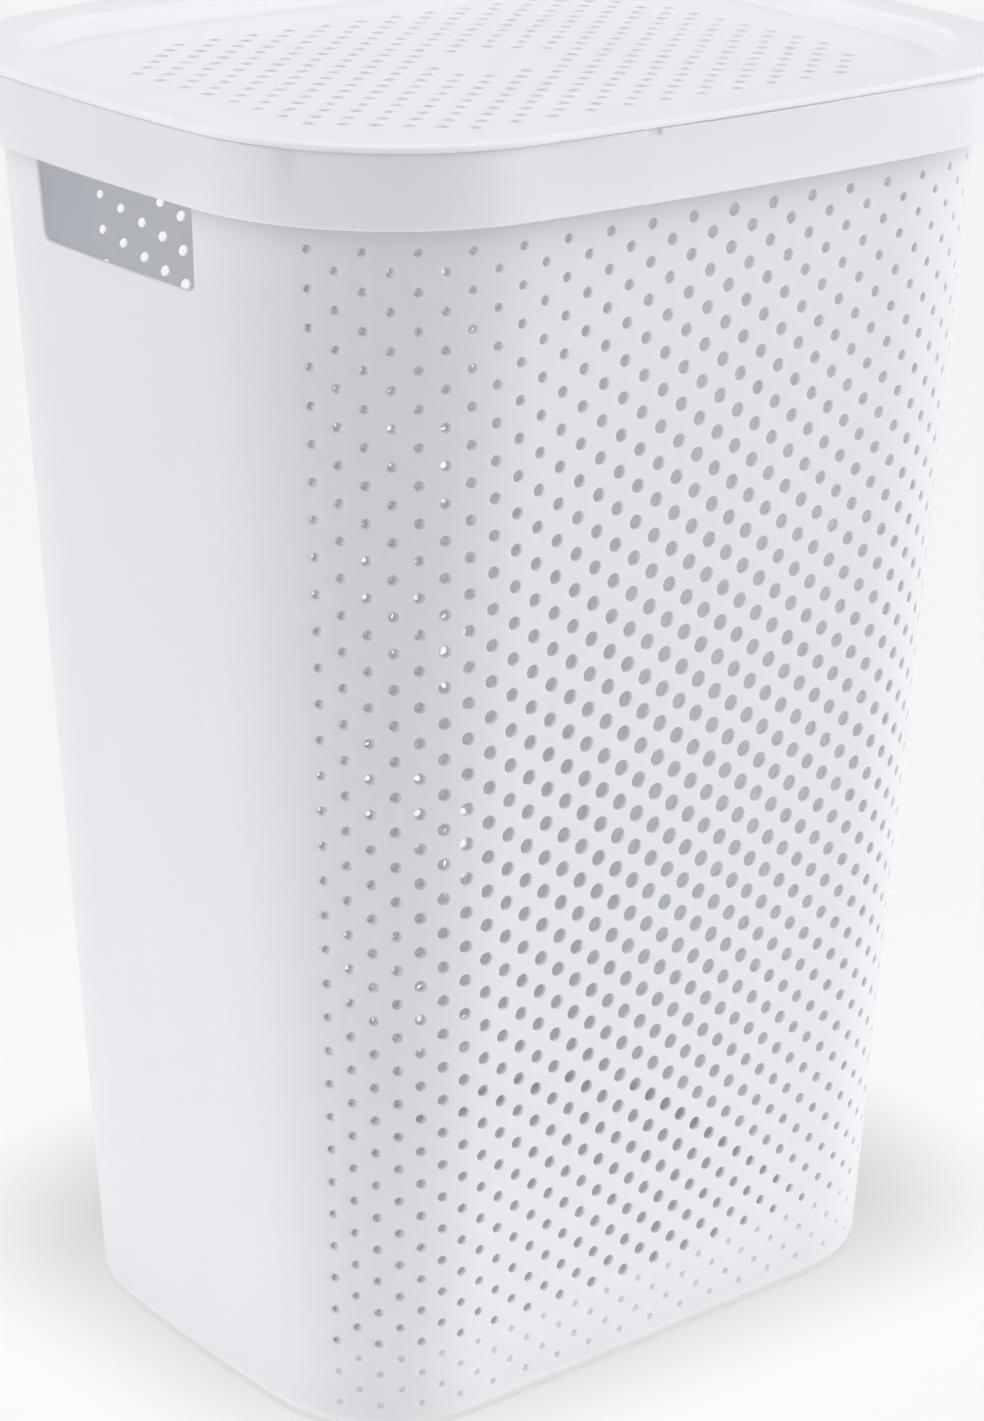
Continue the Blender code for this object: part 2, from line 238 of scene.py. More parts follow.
def basket():
    sk = Skin()
    for sy in (-1, 1):                                    # front, then back
        # lattice corners
        cc, rr = np.meshgrid(np.arange(-COLS - 1, COLS + 2), np.arange(-30, 41), indexing="ij")
        odd = ((cc + rr) % 2 != 0) & (rr >= -29) & (rr <= 39)
        rows = (rr == -30) | (rr == 40)
        keep = odd | rows
        c, r = cc[keep], rr[keep]
        z = row_z(r, sy)
        P, N = wall_point(np.abs(c) * pitch(z), z, np.where(c < 0, -1, 1), sy)
        o = sk.verts(P)
        i = sk.verts(P - N * WALL)
        at_o = -np.ones(cc.shape, int); at_o[keep] = o
        at_i = -np.ones(cc.shape, int); at_i[keep] = i
        NN = np.zeros(cc.shape + (3,)); NN[keep] = N
        key = lambda c_, r_: (np.asarray(c_) + COLS + 1, np.asarray(r_) + 30)
        ids = {"o": at_o, "i": at_i}

        # holes, by number of sides
        hc, hr = np.meshgrid(np.arange(-COLS, COLS + 1), np.arange(-28, 39), indexing="ij")
        m = (hc + hr) % 2 == 0
        hc, hr = hc[m], hr[m]
        d = hole_d(hc, hr)
        blind = hr >= 35
        none = np.zeros(len(hc), bool)
        if sy > 0:
            blind |= np.abs(hc) > BACK_COLS
            none = hr >= 37
            ends = ids["o"][key(hc + 1, hr)], ids["o"][key(hc, hr - 1)], ids["o"][key(hc - 1, hr)], ids["o"][key(hc, hr + 1)]
            quad, nq = np.stack(ends, 1)[none], np.stack([NN[key(hc + 1, hr)], NN[key(hc, hr - 1)],
                                                          NN[key(hc - 1, hr)], NN[key(hc, hr + 1)]], 1)[none]
            sk.faces(quad, nq)
            iq = np.stack([ids["i"][key(hc + 1, hr)], ids["i"][key(hc, hr - 1)],
                           ids["i"][key(hc - 1, hr)], ids["i"][key(hc, hr + 1)]], 1)[none]
            sk.faces(iq, -nq)
        blind &= ~none
        through = ~blind & ~none
        for n, sel in ((14, (d > 7.2 * MM) & through), (12, (d <= 7.2 * MM) & (d > 5.3 * MM) & through),
                       (10, (d <= 5.3 * MM) & through), (10, blind)):
            c, r, dia = hc[sel], hr[sel], d[sel]
            if blind[sel].all():
                dia = np.minimum(dia, 4.3 * MM) * 0.96
            z = row_z(r, sy)
            ang = (np.arange(n) + 0.5) / n * 2 * math.pi
            sgn = np.where(c < 0, -1, 1)
            # ring points on the surface, measured along the wall and up it
            def ring(radius):
                ds = np.cos(ang)[None] * radius[:, None]
                dzz = np.sin(ang)[None] * radius[:, None]
                zz = z[:, None] + dzz
                s = c[:, None] * pitch(z)[:, None] + ds      # signed, + to the right
                return wall_point(np.abs(s), zz, np.where(s < 0, -1, 1), sy)
            lip = 0.35 * MM
            PA, NA = ring(dia / 2 + lip)
            PB, NB = ring(dia / 2)
            PC_, NC_ = wall_point(np.abs(c) * pitch(z), z, sgn, sy)
            # the hole runs along Y, the way the mould opens, but leans no more than 60 degrees from the wall's normal
            y_in = np.array([0, -sy, 0.0])
            inw = -NC_
            cosa = np.clip((inw * y_in).sum(1), 0.0, 1.0)
            tang = unit(y_in[None] - inw * cosa[:, None])
            a_ = np.minimum(np.arccos(cosa), math.radians(60))
            dirn = inw * np.cos(a_)[:, None] + tang * np.sin(a_)[:, None]
            reach = WALL / np.cos(a_)
            out = unit(PB - PC_[:, None])                     # away from the hole's centre
            inward = -out
            A = sk.verts(PA).reshape(len(c), n)
            corners = np.stack([ids["o"][key(c + 1, r)], ids["o"][key(c, r - 1)],
                                ids["o"][key(c - 1, r)], ids["o"][key(c, r + 1)]], 1)
            cnorm = np.stack([NN[key(c + 1, r)], NN[key(c, r - 1)], NN[key(c - 1, r)], NN[key(c, r + 1)]], 1)
            fan(corners, A, cnorm, NA, sk)
            icorn = np.stack([ids["i"][key(c + 1, r)], ids["i"][key(c, r - 1)],
                              ids["i"][key(c - 1, r)], ids["i"][key(c, r + 1)]], 1)
            if blind[sel].all():
                B = sk.verts(PB - NA * 0.30 * MM).reshape(len(c), n)
                PF = PC_[:, None] + (PB - PC_[:, None]) * 0.80 - NA * 1.05 * MM
                F = sk.verts(PF).reshape(len(c), n)
                slope = unit(inward + NA * 0.6)
                band(A, B, NA, slope, sk)
                band(B, F, slope, unit(inward * 0.5 + NA), sk)
                mid = sk.verts(PC_ - NC_ * 1.15 * MM)
                for k in range(n):
                    k2 = (k + 1) % n
                    sk.faces(np.stack([mid, F[:, k], F[:, k2]], 1),
                             np.stack([NC_, unit(inward * 0.5 + NA)[:, k], unit(inward * 0.5 + NA)[:, k2]], 1))
                sk.faces(icorn, -cnorm)
                continue
            PBd = PB + dirn[:, None] * lip
            B = sk.verts(PBd).reshape(len(c), n)
            # holes that lean more have more draft, so they open outwards like a small funnel
            lean = np.clip((np.degrees(a_) - 10) / 24, 0, 1)
            draft = DRAFT + (0.46 * dia / 2 - DRAFT) * lean * lean * (3 - 2 * lean)
            PI = PB - NB * WALL + (dirn * reach[:, None] - inw * WALL)[:, None] - out * draft[:, None, None]
            C = sk.verts(PI).reshape(len(c), n)
            wall_n = unit(inward - dirn[:, None] * (inward * dirn[:, None]).sum(-1, keepdims=True))
            band(A, B, NA, wall_n, sk)
            band(B, C, wall_n, wall_n, sk)
            fan(icorn, C, -cnorm, -NB, sk)

        # saw-tooth triangles at the sides of the lattice, and the plain strips above and below
        for c_edge in (-COLS - 1, COLS + 1):
            inner_c = c_edge - int(math.copysign(1, c_edge))
            r = np.arange(-28, 37, 2)
            for which, flip in (("o", 1), ("i", -1)):
                tri = np.stack([ids[which][key(inner_c, r + 1)], ids[which][key(c_edge, r)],
                                ids[which][key(c_edge, r + 2)]], 1)
                nn = np.stack([NN[key(inner_c, r + 1)], NN[key(c_edge, r)], NN[key(c_edge, r + 2)]], 1)
                sk.faces(tri, nn * flip)
        c = np.arange(-COLS - 1, COLS + 1)
        for rim, edge in ((-30, lambda q: np.where(q % 2 == 0, -29, -28)), (40, lambda q: np.where(q % 2 == 0, 39, 38))):
            for which, flip in (("o", 1), ("i", -1)):
                q = np.stack([ids[which][key(c, edge(c))], ids[which][key(c + 1, edge(c + 1))],
                              ids[which][key(c + 1, np.full_like(c, rim))], ids[which][key(c, np.full_like(c, rim))]], 1)
                nn = np.stack([NN[key(c, edge(c))], NN[key(c + 1, edge(c + 1))],
                               NN[key(c + 1, np.full_like(c, rim))], NN[key(c, np.full_like(c, rim))]], 1)
                sk.faces(q, nn * flip)
        if sy < 0:
            front = dict(o=at_o, i=at_i, key=key)
        else:
            back = dict(o=at_o, i=at_i, key=key)

    # upper strip: rows over the lattice up to the top edge, on the long faces
    top_rows = [583.5 * MM, BODY_TOP]
    tops = {}
    for sy, half in ((-1, front), (1, back)):
        c = np.arange(-COLS - 1, COLS + 2)
        prev_o, prev_i = half["o"][half["key"](c, np.full_like(c, -30))], half["i"][half["key"](c, np.full_like(c, -30))]
        z_prev = float(row_z(-30, sy))
        rows_o, rows_i = [prev_o], [prev_i]
        _, prev_n = wall_point(np.abs(c) * pitch(z_prev), z_prev, np.where(c < 0, -1, 1), sy)
        for z in top_rows:
            P, N = wall_point(np.abs(c) * pitch(z), z, np.where(c < 0, -1, 1), sy)
            o, i = sk.verts(P), sk.verts(P - N * WALL)
            sk.faces(np.stack([prev_o[:-1], prev_o[1:], o[1:], o[:-1]], 1), np.stack([prev_n[:-1], prev_n[1:], N[1:], N[:-1]], 1))
            sk.faces(np.stack([prev_i[:-1], prev_i[1:], i[1:], i[:-1]], 1), -np.stack([prev_n[:-1], prev_n[1:], N[1:], N[:-1]], 1))
            prev_o, prev_i, prev_n = o, i, N
            rows_o.append(o); rows_i.append(i)
        up = np.array([0, 0, 1.0])
        sk.faces(np.stack([prev_o[:-1], prev_o[1:], prev_i[1:], prev_i[:-1]], 1), up[None, None])
        tops[sy] = (rows_o, rows_i)

    # narrow faces: plain, with the hand opening, meshed as flat regions and laid on the wall
    ring_side = {}
    n_across = 18
    for sx in (-1, 1):
        zs = [float(row_z(40))] + [float(row_z(r)) for r in range(38, -31, -2)] + top_rows      # upwards
        zb = [float(row_z(40, 1))] + [float(row_z(r, 1)) for r in range(38, -31, -2)] + top_rows
        def half_w(z):
            g = body_arcs(z)
            return g["l3"] - (COLS + 1) * pitch(z)
        def lay(t, z):
            """t runs from -1 at the front lattice edge to +1 at the back one."""
            t, z = np.asarray(t, float), np.asarray(z, float)
            g = body_arcs(z)
            s = g["l3"] - np.abs(t) * half_w(z)
            return wall_point(s, z, sx, np.where(t < 0, -1, 1))
        def t_of(y, z):
            """t for a given y at height z."""
            tt = np.linspace(-1, 1, 801)
            P, _ = lay(tt, np.full_like(tt, z))
            return float(np.interp(y, P[:, 1], tt))
        SC = 0.106
        pts, fixed, edges = [], [], []
        def edge_ids(kind):
            f, b = front, back
            c_e = (COLS + 1) * sx
            out = []
            for sy, half in ((-1, f), (1, b)):
                col = [half[kind][half["key"](c_e, 40)]]
                col += [half[kind][half["key"](c_e, r)] for r in range(38, -31, -2)]
                row_lists = tops[sy][0 if kind == "o" else 1]
                k = 0 if sx < 0 else -1
                col += [row_lists[1][k], row_lists[2][k]]
                out.append([int(v) for v in col])
            return out
        fo, bo = edge_ids("o")
        fi, bi = edge_ids("i")
        known_o, known_i = {}, {}
        # boundary loop: up the front edge, along the top, down the back edge, along the bottom
        loop = []
        for k, z in enumerate(zs):
            known_o[len(pts)], known_i[len(pts)] = fo[k], fi[k]
            loop.append(len(pts)); pts.append((-1.0, z))
        for j in range(1, n_across):
            loop.append(len(pts)); pts.append((-1 + 2 * j / n_across, zs[-1]))
        top_loop = loop[len(zs) - 1:]
        for k in range(len(zs) - 1, -1, -1):
            known_o[len(pts)], known_i[len(pts)] = bo[k], bi[k]
            loop.append(len(pts)); pts.append((1.0, zb[k]))
        top_loop = top_loop + [loop[len(zs) - 1 + n_across]]
        start_bottom = loop[-1]
        bottom = [start_bottom]
        for j in range(n_across - 1, 0, -1):
            loop.append(len(pts)); bottom.append(len(pts)); pts.append((-1 + 2 * j / n_across, zs[0]))
        bottom.append(loop[0])
        edges += [(loop[k], loop[(k + 1) % len(loop)]) for k in range(len(loop))]
        # hand opening, a rounded trapezoid, as (y, z)
        e = 0.95 * MM
        oc = []
        corners = [(-H_BOT, H_LOW), (H_BOT, H_LOW), (H_TOP, H_HIGH), (-H_TOP, H_HIGH)]
        for k in range(4):
            p0, p1, p2 = (np.array(corners[k - 1]), np.array(corners[k]), np.array(corners[(k + 1) % 4]))
            u, v = unit(p0 - p1), unit(p2 - p1)
            ang = math.acos(float(np.clip(u @ v, -1, 1)))
            cut = H_R / math.tan(ang / 2)
            cen = p1 + unit(u + v) * H_R / math.sin(ang / 2)
            s0, s1 = p1 + u * cut, p1 + v * cut
            a0, a1 = math.atan2(*(s0 - cen)[::-1]), math.atan2(*(s1 - cen)[::-1])
            while a1 < a0:
                a1 += 2 * math.pi
            for q in range(7):
                aa = a0 + (a1 - a0) * q / 6
                oc.append((cen + H_R * np.array([math.cos(aa), math.sin(aa)]), np.array([math.cos(aa), math.sin(aa)])))
            run = p2 - p1
            straight = np.linalg.norm(run) - 2 * cut
            steps = max(2, int(straight / (9 * MM)))
            nrm = np.array([run[1], -run[0]]) / np.linalg.norm(run)
            for q in range(1, steps):
                oc.append((s1 + unit(run) * straight * q / steps, nrm))
        yz = np.array([p for p, _ in oc]); dirs = np.array([d_ for _, d_ in oc])     # dirs point away from the opening
        h_ids = []
        for (y, z), dd in zip(yz, dirs):
            y2, z2 = y + dd[0] * e, z + dd[1] * e
            h_ids.append(len(pts)); pts.append((t_of(y2, z2), z2))
        edges += [(h_ids[k], h_ids[(k + 1) % len(h_ids)]) for k in range(len(h_ids))]
        # inner grid points
        for z in zs[1:-1]:
            for j in range(1, n_across):
                t = -1 + 2 * j / n_across
                P, _ = lay(t, z)
                if H_LOW - 6 * MM < z < H_HIGH + 5 * MM and abs(P[1]) < H_TOP + 7 * MM:
                    continue
                pts.append((t, z))
        P2 = np.array(pts)
        vin = [Vector((p[0] * SC, p[1])) for p in P2]
        vo, _, tris, orig, _, _ = delaunay_2d_cdt(vin, edges, [], 0, 1e-7)
        vo = np.array([(v.x / SC, v.y) for v in vo])
        src = [o[0] if o else -1 for o in orig]
        tris = np.array([t for t in tris if len(t) == 3])
        cen = vo[tris].mean(1)
        Pc, _ = lay(cen[:, 0], cen[:, 1])
        from_poly = np.array(P2[h_ids])
        def inside(q, poly):
            x, y = q[:, 0], q[:, 1]
            res = np.zeros(len(q), bool)
            for k in range(len(poly)):
                x1, y1 = poly[k]; x2, y2 = poly[(k + 1) % len(poly)]
                hit = ((y1 > y) != (y2 > y))
                with np.errstate(divide="ignore", invalid="ignore"):
                    xc = (x2 - x1) * (y - y1) / (y2 - y1) + x1
                res ^= hit & (x < xc)
            return res
        tris = tris[~inside(cen, from_poly)]
        P, N = lay(vo[:, 0], vo[:, 1])
        oid = -np.ones(len(vo), int); iid = -np.ones(len(vo), int)
        back_map = {}
        for k, s_ in enumerate(src):
            back_map[s_] = k
            if s_ in known_o:
                oid[k], iid[k] = known_o[s_], known_i[s_]
        new = np.where(oid < 0)[0]
        oid[new] = sk.verts(P[new]); iid[new] = sk.verts(P[new] - N[new] * WALL)
        sk.faces(oid[tris], N[tris]); sk.faces(iid[tris], -N[tris])
        # top edge
        tl = [back_map[k] for k in top_loop]
        up = np.array([0, 0, 1.0])
        sk.faces(np.array([[oid[a], oid[b], iid[b], iid[a]] for a, b in zip(tl, tl[1:])]), up[None, None])
        ring_side[sx] = ([back_map[k] for k in bottom[::-1]], oid.copy(), iid.copy())     # front to back
        # rounded edge of the opening
        hk = [back_map[k] for k in h_ids]
        tb = np.array([t_of(y, z) for y, z in yz])
        B, NB = lay(tb, yz[:, 1])
        tb2 = np.array([t_of(y + d_[0] * e, z + d_[1] * e) for (y, z), d_ in zip(yz, dirs)])
        B2, _ = lay(tb2, yz[:, 1] + dirs[:, 1] * e)
        M = unit(B2 - B)                                              # in the wall, away from the opening
        prev_o, prev_n = oid[hk], NB
        steps = 6
        for q in range(1, steps + 1):
            th = math.pi * q / steps
            depth = WALL / 2 * (1 - math.cos(th))
            off = e * (1 - math.sin(th))
            nn = unit(NB * math.cos(th) - M * math.sin(th))
            if q < steps:
                cur = sk.verts(B + M * off - NB * depth)
            else:
                cur = iid[hk]
            a_, b_ = np.roll(prev_o, -1), np.roll(cur, -1)
            sk.faces(np.stack([prev_o, a_, b_, cur], 1),
                     np.stack([prev_n, np.roll(prev_n, -1, 0), np.roll(nn, -1, 0), nn], 1))
            prev_o, prev_n = cur, nn

    # foot: fillet, ring and raised floor, round the whole outline
    order_o, order_i, S, SXY = [], [], [], []
    def add(o, i, s, sx, sy):
        order_o.append(int(o)); order_i.append(int(i)); S.append(float(s)); SXY.append((sx, sy))
    zf = float(row_z(40))
    gl = body_arcs(zf)
    for c in range(-COLS - 1, COLS + 2):                              # front, left to right
        add(front["o"][front["key"](c, 40)], front["i"][front["key"](c, 40)], abs(c) * float(pitch(zf)), -1 if c < 0 else 1, -1)
    idx, oid, iid = ring_side[1]
    hw = float(gl["l3"] - (COLS + 1) * pitch(zf))
    for j, k in enumerate(idx[1:-1], 1):
        t = -1 + 2 * j / n_across
        add(oid[k], iid[k], float(gl["l3"]) - abs(t) * hw, 1, -1 if t < 0 else 1)
    for c in range(COLS + 1, -COLS - 2, -1):                          # back, right to left
        add(back["o"][back["key"](c, 40)], back["i"][back["key"](c, 40)], abs(c) * float(pitch(zf)), -1 if c < 0 else 1, 1)
    idx, oid, iid = ring_side[-1]
    for j, k in enumerate(idx[1:-1][::-1], 1):
        t = 1 - 2 * j / n_across
        add(oid[k], iid[k], float(gl["l3"]) - abs(t) * hw, -1, -1 if t < 0 else 1)
    S, SXY = np.array(S), np.array(SXY)
    n = len(S)
    _, Nw = wall_point(S, np.full(n, zf), SXY[:, 0], SXY[:, 1])
    Nh = Nw.copy(); Nh[:, 2] = 0; Nh = unit(Nh)
    base_len = float(gl["l3"])
    def ringz(z, inset):
        g0 = body_arcs(0.0 if inset > FILLET else z)
        x, y, nx, ny = at(g0, S * float(g0["l3"]) / base_len)
        P = np.stack([x * -SXY[:, 0] - (nx * -SXY[:, 0]) * inset, y * -SXY[:, 1] - (ny * -SXY[:, 1]) * inset, np.full(n, z)], 1)
        return P
    zed = np.array([0, 0, 1.0])
    def loop_quads(a, b, na, nb):
        a, b = np.asarray(a), np.asarray(b)
        na, nb = np.broadcast_to(na, (n, 3)), np.broadcast_to(nb, (n, 3))
        sk.faces(np.stack([a, np.roll(a, -1), np.roll(b, -1), b], 1),
                 np.stack([na, np.roll(na, -1, 0), np.roll(nb, -1, 0), nb], 1))
    prev, pn = np.array(order_o), Nw
    for q in range(1, 6):
        th = math.radians(90 * q / 5)
        nn = unit(Nh * math.cos(th) - zed * math.sin(th))
        cur = sk.verts(ringz(FILLET * (1 - math.sin(th)), FILLET * (1 - math.cos(th))))
        loop_quads(prev, cur, pn, nn)
        prev, pn = cur, nn
    for inset, z, n0, n1 in ((FILLET + FOOT - 0.8 * MM, 0.0, -zed, -zed),
                             (FILLET + FOOT, 0.5 * MM, unit(-zed - Nh), unit(-zed * .3 - Nh)),
                             (FILLET + FOOT + 1.6 * MM, LIFT - 0.5 * MM, unit(-zed * .3 - Nh), unit(-zed * .6 - Nh)),
                             (FILLET + FOOT + 3.0 * MM, LIFT, -zed, -zed)):
        cur = sk.verts(ringz(z, inset))
        loop_quads(prev, cur, pn, n1)
        prev, pn = cur, n1
    cap = np.array(prev)
    hub = sk.verts([[0, 0, LIFT]])[0]
    ring_mid = sk.verts(ringz(LIFT, 0.055))
    loop_quads(cap, ring_mid, -zed, -zed)
    sk.faces(np.stack([ring_mid, np.roll(ring_mid, -1), np.full(n, hub)], 1), -zed[None, None])
    # inside: fillet down to the inner floor
    prev, pn = np.array(order_i), -Nw
    R_in = FILLET + 1.5 * MM
    for q in range(1, 6):
        th = math.radians(90 * q / 5)
        nn = unit(-Nh * math.cos(th) + zed * math.sin(th))
        z = LIFT + WALL + R_in * (1 - math.sin(th)) - 0.0
        z = zf + (LIFT + WALL - zf) * math.sin(th)
        cur = sk.verts(ringz(z, WALL + R_in * (1 - math.cos(th)) + 0.02 * MM))
        loop_quads(prev, cur, pn, nn)
        prev, pn = cur, nn
    ring_mid = sk.verts(ringz(LIFT + WALL, 0.055))
    hub = sk.verts([[0, 0, LIFT + WALL]])[0]
    loop_quads(prev, ring_mid, zed, zed)
    sk.faces(np.stack([ring_mid, np.roll(ring_mid, -1), np.full(n, hub)], 1), zed[None, None])
    return sk.build("basket_shell")


# ------------------------------------------------------------------ fine outlines for collar and lid
NL, NC, NS = 26, 34, 16


def outline_pts(w, d, r, kl, ks):
    """Whole outline with normals, from the left centre through the front, counter-clockwise."""
    g = arcs(w / 2, d / 2, r, kl, ks)
    l1, l2, l3 = float(g["l1"]), float(g["l2"]), float(g["l3"])
    s = np.concatenate([np.linspace(0, l1, NL, endpoint=False), np.linspace(l1, l2, NC, endpoint=False),
                        np.linspace(l2, l3, NS + 1)])
    x, y, nx, ny = at(g, s)
    q = np.stack([x, y, nx, ny], 1)
    left_front = q[::-1]
    front = np.concatenate([left_front, q[1:] * [-1, 1, -1, 1]])
    back = (front[::-1] * [1, -1, 1, -1])[1:-1]
    return np.concatenate([front, back])


def rim_o(inset):
    return outline_pts(RIM_W - 2 * inset, RIM_D - 2 * inset, RIM_R - inset, RK_LONG, RK_SHORT)


def body_o(z, inset):
    t = z / SHO_Z
    return outline_pts(BASE_W + (SHO_W - BASE_W) * t - 2 * inset, BASE_D + (SHO_D - BASE_D) * t - 2 * inset,
                       BASE_R + (SHO_R - BASE_R) * t - inset, K_LONG, K_SHORT)


def lid_o(w, d, r):
    return outline_pts(w, d, r, RK_LONG, RK_SHORT)


def loft(name, rings, closed):
    """rings: list of (outline, z), skinned in order. Returns an object with closed skin."""
    me = bpy.data.meshes.new(name)
    n = len(rings[0][0])
    P = np.concatenate([np.column_stack([o[:, :2], z if np.ndim(z) else np.full(n, z)]) for o, z in rings])
    faces = []
    m = len(rings)
    for k in range(m if closed else m - 1):
        a, b = k * n, ((k + 1) % m) * n
        for i in range(n):
            j = (i + 1) % n
            faces.append((a + i, a + j, b + j, b + i))
    me.from_pydata(P.tolist(), [], faces)
    bm = bmesh.new(); bm.from_mesh(me)
    bmesh.ops.recalc_face_normals(bm, faces=bm.faces)
    bm.to_mesh(me); bm.free()
    ob = bpy.data.objects.new(name, me)
    bpy.context.scene.collection.objects.link(ob)
    return ob


def apply_all(ob):
    bpy.context.view_layer.update()
    dg = bpy.context.evaluated_depsgraph_get()
    me = bpy.data.meshes.new_from_object(ob.evaluated_get(dg), preserve_all_data_layers=True, depsgraph=dg)
    ob.modifiers.clear()
    ob.data = me
    return ob


def cut(ob, tools, op="DIFFERENCE"):
    for t in tools:
        mod = ob.modifiers.new("cut", "BOOLEAN")
        mod.operation = op
        mod.solver = "EXACT"
        mod.object = t
    apply_all(ob)
    for t in tools:
        bpy.data.objects.remove(t, do_unlink=True)
    return ob


def block(name, lo, hi, bevel=0.0, segments=3):
    me = bpy.data.meshes.new(name)
    bm = bmesh.new()
    bmesh.ops.create_cube(bm, size=1.0)
    for v in bm.verts:
        v.co = [lo[i] if v.co[i] < 0 else hi[i] for i in range(3)]
    if bevel:
        bmesh.ops.bevel(bm, geom=bm.edges[:], offset=bevel, segments=segments, profile=0.5, affect="EDGES")
    bm.to_mesh(me); bm.free()
    ob = bpy.data.objects.new(name, me)
    bpy.context.scene.collection.objects.link(ob)
    return ob


def prism(name, outline_yz, x0, x1, bevel=0.0, segments=2):
    """A solid with the given outline in the Y-Z plane, between x0 and x1."""
    me = bpy.data.meshes.new(name)
    bm = bmesh.new()
    vs = [bm.verts.new((x0, y, z)) for y, z in outline_yz]
    f = bm.faces.new(vs)
    ext = bmesh.ops.extrude_face_region(bm, geom=[f])
    for v in [g for g in ext["geom"] if isinstance(g, bmesh.types.BMVert)]:
        v.co.x = x1
    bmesh.ops.recalc_face_normals(bm, faces=bm.faces)
    if bevel:
        rim = [e for e in bm.edges if abs(e.verts[0].co.x - e.verts[1].co.x) < 1e-9]
        bmesh.ops.bevel(bm, geom=rim, offset=bevel, segments=segments, profile=0.5, affect="EDGES")
    bm.to_mesh(me); bm.free()
    ob = bpy.data.objects.new(name, me)
    bpy.context.scene.collection.objects.link(ob)
    return ob


def smooth(ob, degrees=32):
    me = ob.data
    me.shade_smooth()
    me.set_sharp_from_angle(angle=math.radians(degrees))
    mod = ob.modifiers.new("even_shading", "WEIGHTED_NORMAL")
    mod.keep_sharp = True
    mod.weight = 60
    apply_all(ob)
    return ob


def collar():
    """Rim band: outer skirt, ledge and an inner lip, one closed ring."""
    skirt, lip_out = 2.4 * MM, WALL + 0.3 * MM
    lip_in = lip_out + 2.0 * MM
    rings = []
    r = 1.15 * MM
    for q in range(5):                                  # lower outer edge
        th = math.radians(90 * q / 4)
        rings.append((rim_o(r * (1 - math.sin(th))), SHO_Z + r * (1 - math.cos(th))))
    for z in (572.0, 577.0, 582.0, 586.5, 588.0, 589.0, 590.0, 591.5, 593.0, 594.5, 596.0):
        rings.append((rim_o(0.0), z * MM))
    r = 1.2 * MM
    for q in range(5):                                  # upper outer edge
        th = math.radians(90 * q / 4)
        rings.append((rim_o(r * (1 - math.cos(th))), LEDGE_TOP - r * (1 - math.sin(th))))
    rings.append((body_o(LEDGE_TOP, lip_in + 0.6 * MM - 1.4 * MM), LEDGE_TOP))
    rings.append((body_o(LEDGE_TOP, lip_in - 0.2 * MM), LEDGE_TOP - 0.25 * MM))
    rings.append((body_o(LEDGE_TOP, lip_in), LEDGE_TOP - 0.8 * MM))
    rings.append((body_o(LIP_LOW, lip_in), LIP_LOW + 0.6 * MM))
    rings.append((body_o(LIP_LOW, lip_in - 0.5 * MM), LIP_LOW))
    rings.append((body_o(LIP_LOW, lip_out), LIP_LOW))
    rings.append((body_o(LEDGE_UNDER, lip_out), LEDGE_UNDER))
    skirt_rows = range(len(rings), len(rings) + 5)
    rings.append((rim_o(skirt + 1.0 * MM), LEDGE_UNDER))
    rings.append((rim_o(skirt), LEDGE_UNDER - 1.0 * MM))
    rings.append((rim_o(skirt), SHO_Z + 1.2 * MM))
    rings.append((rim_o(skirt - 0.4 * MM), SHO_Z + 0.3 * MM))
    rings.append((rim_o(skirt - 1.2 * MM), SHO_Z))
    ob = loft("rim_band", rings, True)

    # the band falls back towards the lid round the two front corners: it starts with a sharp step beside
    # each corner and runs out smoothly towards the middle of the front
    me = ob.data
    co = np.zeros(len(me.vertices) * 3); me.vertices.foreach_get("co", co); co = co.reshape(-1, 3)
    ref = rim_o(0.0)
    n = len(ref)
    px, py, nx, ny = ref.T
    start = 1 / (1 + np.exp(-np.clip((-py - 119.3 * MM) / (0.20 * MM), -50, 50)))
    run = np.clip((np.abs(px) - 64 * MM) / (56 * MM), 0, 1)
    run = run * run * (3 - 2 * run)
    amount = np.where(py < 0, start * run, 0.0)
    for k in range(len(rings)):
        sl = slice(k * n, (k + 1) * n)
        z = co[sl, 2]
        if k > 20 and k not in skirt_rows:
            continue
        h = np.clip((z - (SHO_Z + 2 * MM)) / (LEDGE_UNDER - SHO_Z - 2 * MM), 0, 1)
        dep = 2.5 * MM * amount * (0.35 * h + 0.65 * h * h)
        co[sl, 0] -= nx * dep
        co[sl, 1] -= ny * dep
    me.vertices.foreach_set("co", co.ravel()); me.update()

    tools = []
    half = 11.5 * MM
    for side in (-1, 1):
        cx = side * HX
        tools.append(block("pocket", (cx - half, HY - 5.8 * MM, HZ - 5.6 * MM), (cx + half, HY + 10 * MM, TOP)))
    tools.append(block("lift", (-62 * MM, -RIM_D / 2 - 5 * MM, LEDGE_TOP - 0.5 * MM), (62 * MM, -RIM_D / 2 + 0.9 * MM, LEDGE_TOP + 2 * MM)))
    tools.append(block("slot", (-62.3 * MM, -RIM_D / 2 - 5 * MM, LEDGE_TOP - 2.9 * MM), (-54.3 * MM, -RIM_D / 2 + 2.0 * MM, LEDGE_TOP + 1 * MM),
                       bevel=0.25 * MM))
    cut(ob, tools)
    return smooth(ob)


